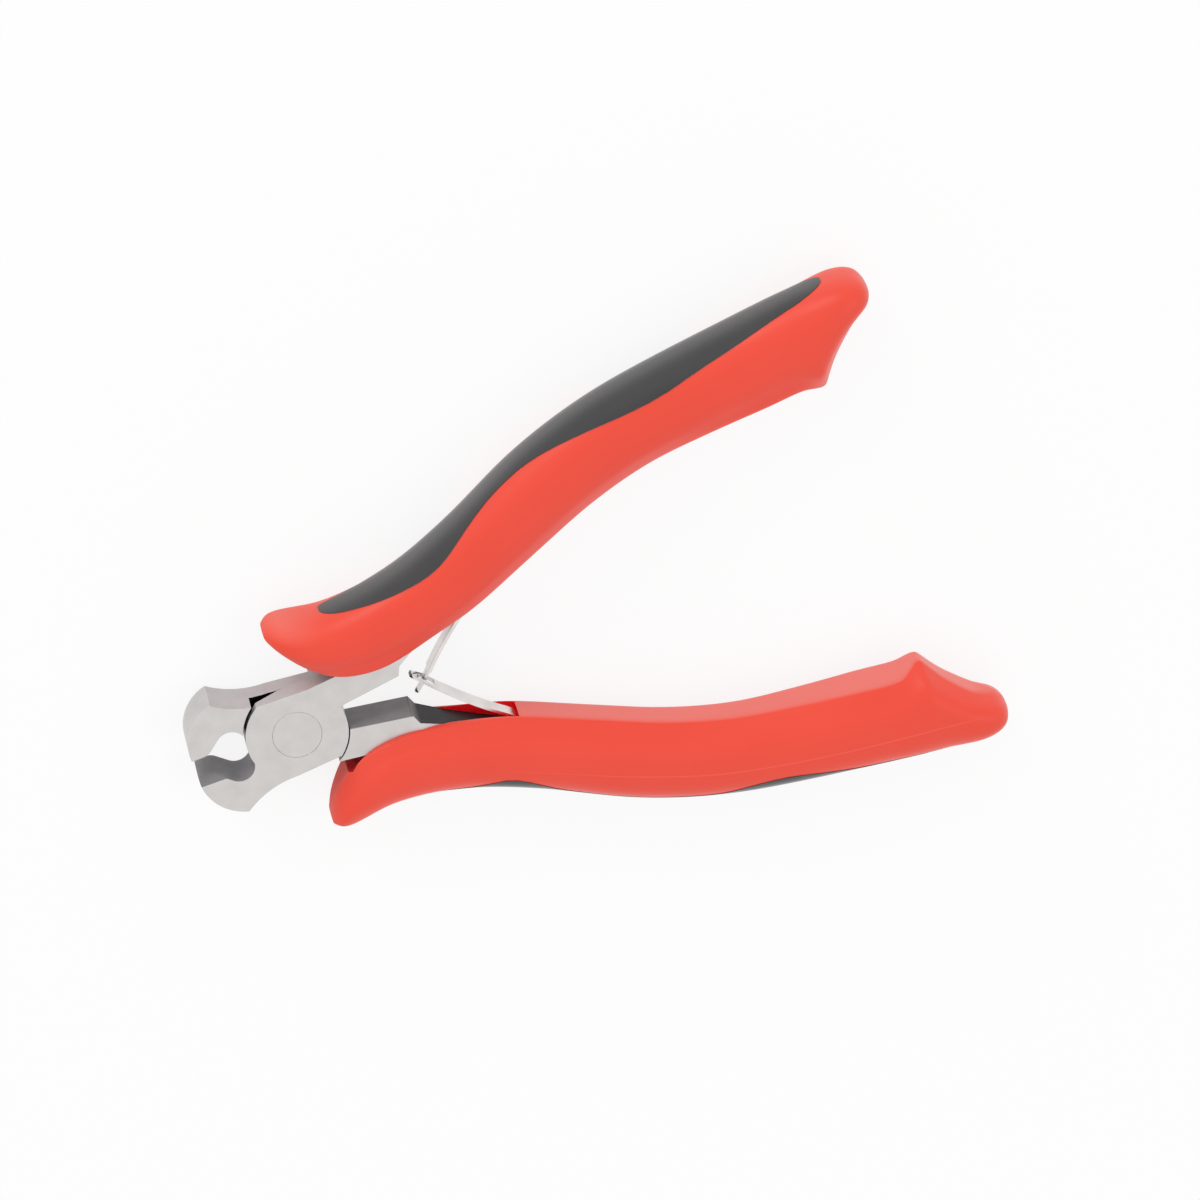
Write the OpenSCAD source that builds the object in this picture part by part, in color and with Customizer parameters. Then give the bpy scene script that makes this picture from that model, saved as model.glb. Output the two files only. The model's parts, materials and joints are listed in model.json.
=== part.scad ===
// Small end cutting nippers with sprung, two-component grips.
// They lie flat: Z is the axis of the pivot, X the line midway between the
// handles, with the jaws towards -X. The origin is on the pivot's axis, on
// the underside of the joint. Both halves are one shape, turned over about X.

/* [Joint] */
// Thickness of the ground steel head
joint_t = 6.8; // [5.5:0.1:8.5]
// Radius of the round laps that turn on each other
lap_r = 7.3; // [6.7:0.1:8]
// Width of the joint across its straight edges
joint_w = 12.2; // [11:0.1:13]
// Gap between the two flat lap faces
lap_gap = 0.08; // [0.04:0.01:0.2]
// Gap between a round lap and the shoulder it turns in
shoulder_gap = 0.2; // [0.1:0.05:0.4]

/* [Pivot rivet] */
// Diameter of the rivet's shank
rivet_d = 4; // [3:0.1:5]
// Diameter of its flush heads
rivet_head_d = 7; // [6:0.1:8.5]
// Thickness of each flush head
rivet_head_t = 1.2; // [0.6:0.1:1.8]
// Running clearance all round the rivet
rivet_fit = 0.03; // [0.01:0.01:0.08]

/* [Jaws] */
// Distance from the pivot's axis to the cutting edges
jaw_reach = 15.2; // [13.5:0.1:18]
// Gap between the cutting edges when the handles are open
jaw_open = 3.1; // [2.6:0.1:5]
// Width across the outer corners of the jaws
jaw_w = 17.6; // [15:0.1:20]
// Distance from the pivot's axis to the outer corners
corner_x = 10.1; // [9:0.1:12]
// How far the nose of a jaw bulges from tip to corner
nose_bulge = 1.6; // [0.8:0.1:2.2]
// How far the neck behind a jaw is hollowed
neck_hollow = 0.7; // [0.3:0.1:1.2]
// Radius of the hollow behind each cutting edge
throat_r = 2.2; // [1.6:0.1:2.6]
// Distance from the pivot's axis to the middle of that hollow
throat_x = 9.2; // [8.8:0.1:10.5]
// Distance of its middle from the centre line
throat_y = 1.75; // [1.3:0.05:2.2]
// Length of the flat land behind each cutting edge
land_len = 2.5; // [1.5:0.1:3]
// Angle of the land to the centre line
land_angle = 2; // [1:0.5:5]
// Size of the corner ground off one end of the land
relief = 1.2; // [0.6:0.1:1.6]

/* [Arms and tangs] */
// Gap between the arms beside the joint
arm_gap = 3.6; // [3:0.1:5]
// Distance from the pivot's axis to the step where an arm becomes a tang
knee_x = 16.2; // [14:0.1:20]
// Gap between the arms at that step
knee_gap = 6.7; // [6:0.1:8]
// Height of the step
knee_step = 1.4; // [0.8:0.1:2]
// Length over which the arm thins down to the tang
heel_run = 2.5; // [1.5:0.1:4]
// Angle at which the tang leaves the step
tang_angle = 29.2; // [27:0.1:31]
// Thickness of the tang
tang_t = 5; // [4:0.1:6]
// Width of the tang inside the grip
tang_w = 5.5; // [4:0.1:6.5]
// How far the tang reaches along the tool from the pivot
tang_end = 76; // [60:1:84]

/* [Grips] */
// Distance of the flared front tip beyond the pivot's axis
grip_front = 0.3; // [0:0.1:3]
// Length of a grip along the tool
grip_len = 96; // [90:1:110]
// Reach of a grip from the centre line, at its widest
grip_reach = 37.5; // [35:0.5:41]
// Thickness of a grip over its rounded sides
grip_t = 12; // [10.5:0.1:14]
// Depth of the flat ground along each side of a grip
grip_flat = 0.1; // [0.05:0.01:0.2]
// Depth of the soft inlay in the back of a grip
inlay_t = 1.6; // [1:0.1:2]
// Clearance between a grip and the steel inside it
tang_fit = 0.05; // [0.02:0.01:0.1]
// Distance from the pivot's axis to the end of the open slot
slot_end = 30.2; // [27:0.1:34]
// Gap left in the mouth of the grip, outside the arm
mouth_gap = 1.4; // [0.8:0.1:2]

/* [Leaf springs] */
// Width of a spring leaf
leaf_w = 3.4; // [2.6:0.1:4]
// Thickness of the leaf
leaf_t = 0.5; // [0.3:0.05:0.6]
// Distance from the pivot's axis to where the leaves cross
cross_x = 19.3; // [17.5:0.1:21]
// How far a leaf bows towards its own handle
leaf_bow = 0.4; // [0.1:0.1:0.8]
// How far the leaves reach past their crossing
leaf_past = 2.2; // [1.8:0.1:2.8]
// Width of the tongue that passes through the other leaf
tongue_w = 1.4; // [1:0.1:1.6]
// Clearance of the tongue in its slot
tongue_fit = 0.25; // [0.15:0.05:0.35]
// Length of the seat that lies on the tang
seat_len = 5.6; // [5:0.1:7]
// Depth of the leaf's fold below the tang
fold_depth = 2; // [1.6:0.1:2.4]
// Diameter of the shank that holds the seat down
pin_d = 1.4; // [1:0.1:1.8]
// Diameter of its head
pin_head_d = 2.4; // [2:0.1:3]
// Thickness of its head
pin_head_t = 0.6; // [0.4:0.1:0.8]
// How deep it sits in the tang
pin_depth = 2; // [1.5:0.1:3]

/* [Hidden] */
$fn = 64;

steel = [0.78, 0.77, 0.76];
spring_steel = [0.85, 0.84, 0.80];
red = [0.94, 0.25, 0.19];
grey = [0.27, 0.26, 0.27];

// Extra length that lets a cut pass clean through a face
over = 1;
// Parts of a curve drawn as straight pieces
arc_steps = 12;

// Curve helpers
function along(p, q, s) = p + (q - p) * s;
function side(a) = [-sin(a), cos(a)];
function ahead(a) = [cos(a), sin(a)];
function flip(p) = [p[0], -p[1]];

// Points on the arc from p to q that bulges by sag to the left
function arc(p, q, sag) =
    let (
        chord = norm(q - p),
        dir = (q - p) / chord,
        left = [-dir[1], dir[0]],
        r = (chord * chord / 4 + sag * sag) / (2 * sag),
        half = 2 * atan(2 * sag / chord),
        mid = (p + q) / 2 - left * (r - sag)
    )
    [for (i = [0 : arc_steps])
        let (a = half * (2 * i / arc_steps - 1))
        mid + r * (left * cos(a) + dir * sin(a))];

// Smooth curve through rows of [x, value], flat beyond both ends
function slope(rows, i) =
    let (a = max(i - 1, 0), b = min(i + 1, len(rows) - 1))
    (rows[b][1] - rows[a][1]) / (rows[b][0] - rows[a][0]);
function curve(rows, x, i = 0) =
    x <= rows[0][0] ? rows[0][1]
    : x >= rows[len(rows) - 1][0] ? rows[len(rows) - 1][1]
    : x > rows[i + 1][0] ? curve(rows, x, i + 1)
    : let (
        w = rows[i + 1][0] - rows[i][0],
        t = (x - rows[i][0]) / w,
        d = rows[i + 1][1] - rows[i][1],
        m0 = slope(rows, i) * w,
        m1 = slope(rows, i + 1) * w
    )
    rows[i][1] + t * (m0 + t * (3 * d - 2 * m0 - m1 + t * (m0 + m1 - 2 * d)));

// Jaw outline, in the half plane of +Y
tip = [-jaw_reach, jaw_open / 2];
corner = [-corner_x, jaw_w / 2];
neck_x = 2;
neck_end = [-neck_x, joint_w / 2];
lap_taper = 0.9;
lap_foot = [lap_r, joint_w / 2 - lap_taper];
land_end = tip + land_len * ahead(land_angle);
throat = [-throat_x, throat_y];
throat_edge = throat + throat_r * ahead(128);
// The land runs into the slope behind it over this share of both
land_ease = 0.25;
land_sag = 0.1;

// Arm and tang, in the half plane of +Y
arm_root = [lap_r - over, arm_gap / 2];
knee = [knee_x, knee_gap / 2];
knee_run = 0.6;
heel = knee + [knee_run, knee_step];
arm_shoulder = [lap_r / 2, joint_w / 2];
arm_rise = [0.7, 0.5];
arm_back = [lap_r, joint_w / 2] + arm_rise;
function tang_face(x) = heel[1] + (x - heel[0]) * tan(tang_angle);

// Grip profile, as rows that are then stretched to the size of the grip
outer_rows = [
    [0, 15.7], [0.8, 16.5], [2.4, 16.7], [9.5, 15.7], [19.5, 17.25], [29.5, 21.4], [40.5, 27.3],
    [49.5, 30.8], [58.5, 33.1], [76.5, 35.9], [90, 37.5], [93.5, 37.2], [95.2, 36.2], [95.8, 35.3],
    [96, 34.8],
];
inner_rows = [
    [0, 15.1], [0.5, 13.6], [1.5, 11.9], [3.8, 9.1], [6.5, 7.1], [9.5, 5.9], [13.5, 5.3], [16.5, 5.35],
    [19.5, 5.9], [29.5, 9], [40.5, 14], [49.5, 18], [58.5, 20.8], [67.5, 22.2], [76.5, 23.2],
    [82.5, 23.9], [85.5, 22.9], [88.3, 26.3], [91.1, 29.4], [93.5, 31.4], [95.2, 33], [95.8, 33.8],
    [96, 34.4],
];
thick_rows = [[0, 5], [1.5, 9], [4.5, 11.2], [9, 12], [88, 12], [92.5, 11.2], [94.5, 9.2], [96, 6]];
inlay_rows = [
    [8.5, 0.7], [9.1, 1.7], [10.8, 2.75], [13.5, 3.5], [17, 4.2], [25, 5.1], [28.5, 5], [32.5, 3.8],
    [37, 3.2], [42.5, 3.4], [50.5, 4.6], [57, 5.2], [63.5, 5.3], [70, 4.9], [77, 4.3], [84, 3.3],
    [87.5, 2.55], [89.2, 1.6], [89.8, 0.7],
];
profile_len = outer_rows[len(outer_rows) - 1][0];
profile_reach = max([for (row = outer_rows) row[1]]);
profile_t = max([for (row = thick_rows) row[1]]);
inlay_first = inlay_rows[0][0];
inlay_last = inlay_rows[len(inlay_rows) - 1][0];
// The inlay is thin at its two ends and deepens away from them
inlay_lip = 0.3;
inlay_ramp = 0.6;
// Distance from an end of the inlay to the next ring of the shell
inlay_lead = 0.6;
// Roundness of a grip's section: 2 is an ellipse, higher is squarer
section_power = 3;
ring_points = 20;
floor_points = 8;
stations = [
    0, 0.25, 0.8, 1.5, 2.6, 3.8, 5.2, 6.7, inlay_first - inlay_lead, inlay_first, inlay_first + 1.4,
    for (u = [11.5 : 3.5 : 81]) u,
    83, 84.5, 85.5, 86.7, 88.3, inlay_last, inlay_last + inlay_lead, 92.4, 93.7, 94.8, 95.5,
    profile_len,
];

function grip_x(u) = grip_front + u * grip_len / profile_len;
function grip_u(x) = (x - grip_front) * profile_len / grip_len;
function outer_y(u) = curve(outer_rows, u) * grip_reach / profile_reach;
function inner_y(u) = curve(inner_rows, u) * grip_reach / profile_reach;
function half_t(u) = curve(thick_rows, u) / 2 * grip_t / profile_t;
function inlay_h(u) = curve(inlay_rows, u) * grip_t / profile_t;
function inlay_depth(u) =
    u < inlay_first || u > inlay_last ? 0
    : min(inlay_t, inlay_lip + inlay_ramp * min(u - inlay_first, inlay_last - u));
function middle_y(x) = (inner_y(grip_u(x)) + outer_y(grip_u(x))) / 2;

function power(v) = sign(v) * pow(abs(v), 2 / section_power);
function edge_angle(u) = asin(pow(inlay_h(u) / half_t(u), section_power / 2));

// Point of the section at u, at angle t from the outer edge, sunk by depth
function section_point(u, t, depth) =
    let (a = (outer_y(u) - inner_y(u)) / 2, limit = grip_t / 2 - grip_flat)
    [
        grip_x(u),
        inner_y(u) + a * (1 + power(cos(t))) - depth,
        max(-limit, min(limit, half_t(u) * power(sin(t)))),
    ];
function floor_angle(u, j) = edge_angle(u) * (2 * j / floor_points - 1);

function shell_ring(u) = concat(
    [for (i = [0 : ring_points])
        let (e = edge_angle(u))
        section_point(u, e + (360 - 2 * e) * i / ring_points, 0)],
    [for (j = [1 : floor_points - 1]) section_point(u, floor_angle(u, j), inlay_depth(u))]
);
function inlay_ring(u) = concat(
    [for (j = [floor_points : -1 : 0]) section_point(u, floor_angle(u, j), 0)],
    [for (j = [1 : floor_points - 1]) section_point(u, floor_angle(u, j), inlay_depth(u))]
);

// Closed skin over a row of rings with the same number of points
module skin(rings) {
    n = len(rings[0]);
    last = len(rings) - 1;
    sides = [
        for (i = [0 : last - 1], j = [0 : n - 1])
            let (k = (j + 1) % n, a = i * n, b = a + n)
            each [[a + j, b + j, b + k], [a + j, b + k, a + k]]
    ];
    ends = [[for (j = [0 : n - 1]) j], [for (j = [n - 1 : -1 : 0]) last * n + j]];
    polyhedron([for (r = rings) each r], concat(sides, ends), convexity = 6);
}

// Half of the tool that is drawn at +Y goes to its side, and up to its height
module upper_side() { translate([0, 0, joint_t / 2]) children(); }
module lower_side() { translate([0, 0, joint_t / 2]) rotate([180, 0, 0]) children(); }
module slab(t) { translate([0, 0, -t / 2]) linear_extrude(t) children(); }

// Lever: a jaw at -Y, a round lap, and an arm and tang at +Y
module jaw_outline() {
    mirror([0, 1]) difference() {
        polygon(concat(
            [tip],
            arc(along(land_end, tip, land_ease), along(land_end, throat_edge, land_ease), -land_sag),
            [throat_edge, [over - lap_r, over], [0, 0]],
            arc(neck_end, corner, neck_hollow),
            arc(corner, tip, -nose_bulge)
        ));
        translate(throat) circle(throat_r);
    }
}

module lap_outline() {
    intersection() {
        circle(lap_r);
        polygon([
            [-lap_r - over, 0], flip([-lap_r - over, joint_w / 2]), flip(neck_end), flip(lap_foot),
            [lap_r + over, 0], [lap_r + over, joint_w / 2], [-lap_r - over, joint_w / 2],
        ]);
    }
}

module arm_outline() {
    polygon([
        [0, 0], arm_root, knee, heel, [heel[0], tang_outer(heel[0])],
        arm_back, arm_shoulder, [0, joint_w / 2],
    ]);
}

// Seat of a spring leaf: it starts beyond the slot's end, on the straight part of the tang
riser_run = 1.2;
seat_margin = 0.6;
seat_start = [slot_end + riser_run, tang_face(slot_end + riser_run)];
seat_end = seat_start + seat_len * ahead(tang_angle);
pin_at = seat_len * 0.55;

// Tang, grown by fit on both edges and at its end
bend_x = seat_end[0] + 2 * seat_margin;
tang_steps = 6;
function tang_inner(x) = x <= bend_x ? tang_face(x) : max(tang_face(bend_x), middle_y(x) - tang_w / 2);
function tang_outer(x) = middle_y(x) + tang_w / 2;
module tang_outline(fit = 0) {
    run = tang_end + fit - bend_x;
    xs = [for (i = [0 : tang_steps]) bend_x + run * i / tang_steps];
    polygon(concat(
        [[heel[0], tang_face(heel[0]) - fit]],
        [for (x = xs) [x, tang_inner(x) - fit]],
        [for (i = [tang_steps : -1 : 0]) [xs[i], tang_outer(xs[i]) + fit]],
        [[slot_end, tang_outer(slot_end) + fit], [heel[0], tang_outer(heel[0]) + fit]]
    ));
}

module rivet_room(fit) {
    cylinder(d = rivet_d + 2 * fit, h = joint_t + 2 * over, center = true);
    for (turn = [0, 180])
        rotate([turn, 0, 0])
            translate([0, 0, joint_t / 2 - rivet_head_t - fit])
                cylinder(d = rivet_head_d + 2 * fit, h = rivet_head_t + fit + over);
}

// Corner ground off the land of the jaw, at the end of the cutting edge
module land_relief() {
    translate([-jaw_reach, 0, 0])
        rotate([90, 0, 90])
            translate([0, 0, -over])
                linear_extrude(jaw_reach - throat_x + over)
                    polygon([
                        [-tip[1] + over, joint_t / 2 - relief - over],
                        [-tip[1] - relief - over, joint_t / 2 + over],
                        [-tip[1] + over, joint_t / 2 + over],
                    ]);
}

// Slopes on both faces that thin the arm down to the tang, moved out by fit
module heel_slopes(fit = 0) {
    for (turn = [0, 180])
        rotate([turn, 0, 0])
            translate([heel[0] + fit, 0, fit])
                rotate([90, 0, 0])
                    linear_extrude(4 * joint_w, center = true)
                        polygon([
                            [-heel_run, joint_t / 2], [0, tang_t / 2],
                            [over, joint_t / 2 + over], [-heel_run, joint_t / 2 + over],
                        ]);
}

module lever() {
    difference() {
        union() {
            slab(joint_t) {
                jaw_outline();
                arm_outline();
                lap_outline();
            }
            slab(tang_t) tang_outline();
        }
        translate([0, 0, lap_gap / 2 - joint_t])
            cylinder(r = lap_r + shoulder_gap, h = joint_t);
        rivet_room(rivet_fit);
        land_relief();
        heel_slopes();
        on_seat(pin_at) translate([0, 0, -pin_depth - rivet_fit])
            cylinder(d = pin_d + 2 * rivet_fit, h = pin_depth + over);
    }
}

// Place on the seat at s from its start, with its own Z square to the tang's face
module on_seat(s) {
    p = seat_start + s * ahead(tang_angle);
    translate([p[0], p[1], 0]) rotate([0, 0, tang_angle - 90]) rotate([0, 90, 0]) children();
}

// Spring leaf in plan: seat, riser, fold at the slot's end, bowed blade, tip
fold_run = 0.4;
fold = [slot_end - fold_run, tang_face(slot_end - fold_run) - fold_depth];
cross = [cross_x, 0];
blade = arc(fold, cross, -leaf_bow);
blade_angle = atan2(fold[1], fold[0] - cross_x);
past_angle = blade_angle + 180;
seat_lift = -side(tang_angle) * (leaf_t / 2 + rivet_fit);
function leaf_path(past) = concat(
    [seat_end + seat_lift, seat_start + seat_lift],
    blade,
    [cross + past * ahead(past_angle)]
);

// Ribbon of the leaf's thickness along a path
module ribbon(path) {
    last = len(path) - 1;
    normals = [for (i = [0 : last])
        let (d = path[min(i + 1, last)] - path[max(i - 1, 0)])
        [-d[1], d[0]] / norm(d)];
    polygon(concat(
        [for (i = [0 : last]) path[i] + normals[i] * leaf_t / 2],
        [for (i = [last : -1 : 0]) path[i] - normals[i] * leaf_t / 2]
    ));
}

module leaf(past) {
    difference() {
        slab(leaf_w) ribbon(leaf_path(past));
        on_seat(pin_at) translate([0, 0, -over])
            cylinder(d = pin_d + 2 * rivet_fit, h = leaf_t + 2 * over);
    }
}

// Box about the crossing, square to a leaf: from before it to past it
module crossing_box(before, past, w) {
    translate([cross_x, 0, 0]) rotate([0, 0, blade_angle])
        translate([-past, -over, -w / 2]) cube([before + past, 2 * over, w]);
}

slot_before = leaf_past - leaf_t;
module slotted_leaf() {
    difference() {
        leaf(leaf_past);
        crossing_box(slot_before, leaf_past - 2 * leaf_t, tongue_w + 2 * tongue_fit);
    }
}

module tongued_leaf() {
    difference() {
        leaf(leaf_past);
        for (turn = [-1, 1])
            translate([0, 0, turn * (leaf_w + tongue_w) / 2])
                crossing_box(slot_before, leaf_past + over, leaf_w);
    }
}

module spring_pin() {
    on_seat(pin_at) {
        translate([0, 0, -pin_depth]) cylinder(d = pin_d, h = pin_depth + leaf_t + pin_head_t);
        translate([0, 0, leaf_t + 2 * rivet_fit]) cylinder(d = pin_head_d, h = pin_head_t);
    }
}

// Grip: the swept form, less the room for the steel and the spring
room_h = leaf_t + pin_head_t + seat_margin;
function by_seat(s, lift) = seat_start + s * ahead(tang_angle) + lift * side(tang_angle);
module leaf_room() {
    polygon([
        by_seat(-riser_run - seat_margin, tang_fit), by_seat(seat_len + seat_margin, tang_fit),
        by_seat(seat_len + seat_margin, -room_h), by_seat(0, -room_h), fold - [0, leaf_t / 2],
    ]);
}

module grip_room() {
    difference() {
        slab(joint_t + 2 * tang_fit) arm_room();
        heel_slopes(tang_fit);
    }
    slab(tang_t + 2 * tang_fit) {
        tang_outline(tang_fit);
        polygon([
            [heel[0] - over, 0], [heel[0] - over, tang_face(heel[0])],
            [slot_end, tang_face(slot_end)], [slot_end, 0],
        ]);
    }
    slab(leaf_w + 2 * tongue_fit) leaf_room();
}

// Plan of the arm's room, with the open mouth outside the arm
mouth_share = 0.35;
module arm_room() {
    end = [heel[0], tang_outer(heel[0])] + [tang_fit, 2 * tang_fit];
    waist = along(arm_back, end, mouth_share) + [0, 2 * tang_fit];
    polygon([
        [grip_front - over, 0], [end[0], 0], end, waist,
        arm_back + [0, mouth_gap], [grip_front - over, arm_back[1] + 2 * mouth_gap],
    ]);
}

module grip_shell() {
    difference() {
        skin([for (u = stations) shell_ring(u)]);
        grip_room();
    }
}

module grip_inlay() {
    skin([for (u = stations) if (u >= inlay_first && u <= inlay_last) inlay_ring(u)]);
}

module front_lever() { color(steel) upper_side() lever(); }
module back_lever() { color(steel) lower_side() lever(); }
module pivot_rivet() {
    color(steel) upper_side() intersection() {
        rivet_room(0);
        slab(joint_t) circle(rivet_head_d);
    }
}
module upper_grip_shell() { color(red) upper_side() grip_shell(); }
module upper_grip_inlay() { color(grey) upper_side() grip_inlay(); }
module lower_grip_shell() { color(red) lower_side() grip_shell(); }
module lower_grip_inlay() { color(grey) lower_side() grip_inlay(); }
module upper_leaf_spring() { color(spring_steel) upper_side() tongued_leaf(); }
module lower_leaf_spring() { color(spring_steel) lower_side() slotted_leaf(); }
module upper_spring_rivet() { color(spring_steel) upper_side() spring_pin(); }
module lower_spring_rivet() { color(spring_steel) lower_side() spring_pin(); }

front_lever();
back_lever();
pivot_rivet();
upper_grip_shell();
upper_grip_inlay();
lower_grip_shell();
lower_grip_inlay();
upper_leaf_spring();
lower_leaf_spring();
upper_spring_rivet();
lower_spring_rivet();
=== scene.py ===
# %% [markdown]
# # End cutting nippers
# A small pair of nippers lies on its side: two forged steel levers that turn on a flush rivet, two red
# grips with soft grey inlays, and two thin spring leaves that cross between the handles. The imported CAD
# part is the fixed frame. Everything here is in metres and in that frame, so nothing has to be fitted:
# each new piece is modelled where its CAD node lies, rides on that node's body unless it is a spring leaf,
# and then hides the node.

# %% Load the imported part
import json
import math

import bmesh
import bpy
from mathutils import Matrix, Vector

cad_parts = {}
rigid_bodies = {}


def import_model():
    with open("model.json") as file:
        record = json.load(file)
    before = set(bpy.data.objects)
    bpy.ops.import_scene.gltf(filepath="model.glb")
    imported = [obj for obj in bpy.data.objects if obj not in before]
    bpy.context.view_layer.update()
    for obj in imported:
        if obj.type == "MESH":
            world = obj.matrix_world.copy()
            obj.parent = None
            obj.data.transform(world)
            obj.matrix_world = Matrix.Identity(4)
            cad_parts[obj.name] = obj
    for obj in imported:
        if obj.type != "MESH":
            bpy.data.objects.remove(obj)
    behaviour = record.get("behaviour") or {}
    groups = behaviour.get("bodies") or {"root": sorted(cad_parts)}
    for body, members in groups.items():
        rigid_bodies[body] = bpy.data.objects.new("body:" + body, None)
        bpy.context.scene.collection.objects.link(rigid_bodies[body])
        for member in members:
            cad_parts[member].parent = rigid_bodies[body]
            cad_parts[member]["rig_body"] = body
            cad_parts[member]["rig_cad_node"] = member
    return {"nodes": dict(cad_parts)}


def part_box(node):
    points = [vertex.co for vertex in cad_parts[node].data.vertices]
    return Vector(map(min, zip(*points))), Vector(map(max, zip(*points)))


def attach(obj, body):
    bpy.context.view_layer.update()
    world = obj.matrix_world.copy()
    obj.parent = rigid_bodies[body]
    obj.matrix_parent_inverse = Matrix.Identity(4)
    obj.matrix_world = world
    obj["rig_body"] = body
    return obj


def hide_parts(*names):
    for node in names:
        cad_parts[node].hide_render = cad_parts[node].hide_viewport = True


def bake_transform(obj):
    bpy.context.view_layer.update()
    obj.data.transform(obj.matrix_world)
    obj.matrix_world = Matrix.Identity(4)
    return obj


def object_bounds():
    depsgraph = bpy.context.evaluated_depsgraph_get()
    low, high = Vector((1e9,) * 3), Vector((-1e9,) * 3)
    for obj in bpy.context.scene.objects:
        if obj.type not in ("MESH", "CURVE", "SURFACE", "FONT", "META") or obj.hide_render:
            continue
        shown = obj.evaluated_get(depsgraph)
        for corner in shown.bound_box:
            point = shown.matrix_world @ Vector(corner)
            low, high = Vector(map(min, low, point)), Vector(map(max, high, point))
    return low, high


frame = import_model()
cad_low, cad_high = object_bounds()
MM = 0.001
JOINT_LOW, JOINT_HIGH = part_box("pivot_rivet")
MID_Z = (JOINT_LOW.z + JOINT_HIGH.z) / 2
print("CAD box in mm:", [round((b - a) / MM, 1) for a, b in zip(cad_low, cad_high)])

# %% [markdown]
# ## Camera
# The photograph looks down on the tool, tilted towards the upper handle and rolled, from far away with a
# long lens. A camera can be aimed by eye, but three facts fix it exactly: where the rivet's face appears
# in the picture, how many pixels a metre takes there, and the tilt and roll of the view. They are written
# down as such, and the camera's place follows from them.

# %% Camera
PHOTO_SIDE = 1200
RIVET_PIXEL = (297.3, 735.0)
PIXELS_PER_M = 7120
VIEW_TILT = math.radians(26.0)
VIEW_ROLL = math.radians(19.6)
VIEW_DISTANCE = 1.2
SENSOR = 36

backward = Vector((0, math.sin(VIEW_TILT), math.cos(VIEW_TILT)))
level = Vector((1, 0, 0))
upright = backward.cross(level)
right = level * math.cos(VIEW_ROLL) - upright * math.sin(VIEW_ROLL)
up = level * math.sin(VIEW_ROLL) + upright * math.cos(VIEW_ROLL)
rivet_face = Vector((0, 0, JOINT_HIGH.z))
from_centre = [(pixel - PHOTO_SIDE / 2) / PIXELS_PER_M for pixel in RIVET_PIXEL]
place = rivet_face - right * from_centre[0] + up * from_centre[1] + backward * VIEW_DISTANCE
turn = Matrix((right, up, backward)).transposed()

bpy.ops.object.camera_add(location=place, rotation=turn.to_euler())
camera = bpy.context.object
camera.data.sensor_width = SENSOR
camera.data.lens = SENSOR * PIXELS_PER_M * VIEW_DISTANCE / PHOTO_SIDE
bpy.context.scene.camera = camera
print("camera lens in mm:", round(camera.data.lens, 1))

# %% [markdown]
# ## Shader maths
# A finish is a little sum: a red, a bit of grain, a thin line. Wiring every Math node by hand hides that
# sum, so one small class wraps a socket and lets Python's own operators add the nodes. A second class
# holds a material and has one method that adds any other node, sets it up and links it.

# %% Wires and finishes
class Wire:
    """An output socket that can stand in a Python expression."""

    def __init__(self, finish, socket):
        self.finish = finish
        self.socket = socket

    def maths(self, operation, first, second):
        return self.finish.node("ShaderNodeMath", {"operation": operation}, {0: first, 1: second})

    def __add__(self, other):
        return self.maths("ADD", self, other)

    def __radd__(self, other):
        return self.maths("ADD", other, self)

    def __sub__(self, other):
        return self.maths("SUBTRACT", self, other)

    def __rsub__(self, other):
        return self.maths("SUBTRACT", other, self)

    def __mul__(self, other):
        return self.maths("MULTIPLY", self, other)

    def __rmul__(self, other):
        return self.maths("MULTIPLY", other, self)


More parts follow.
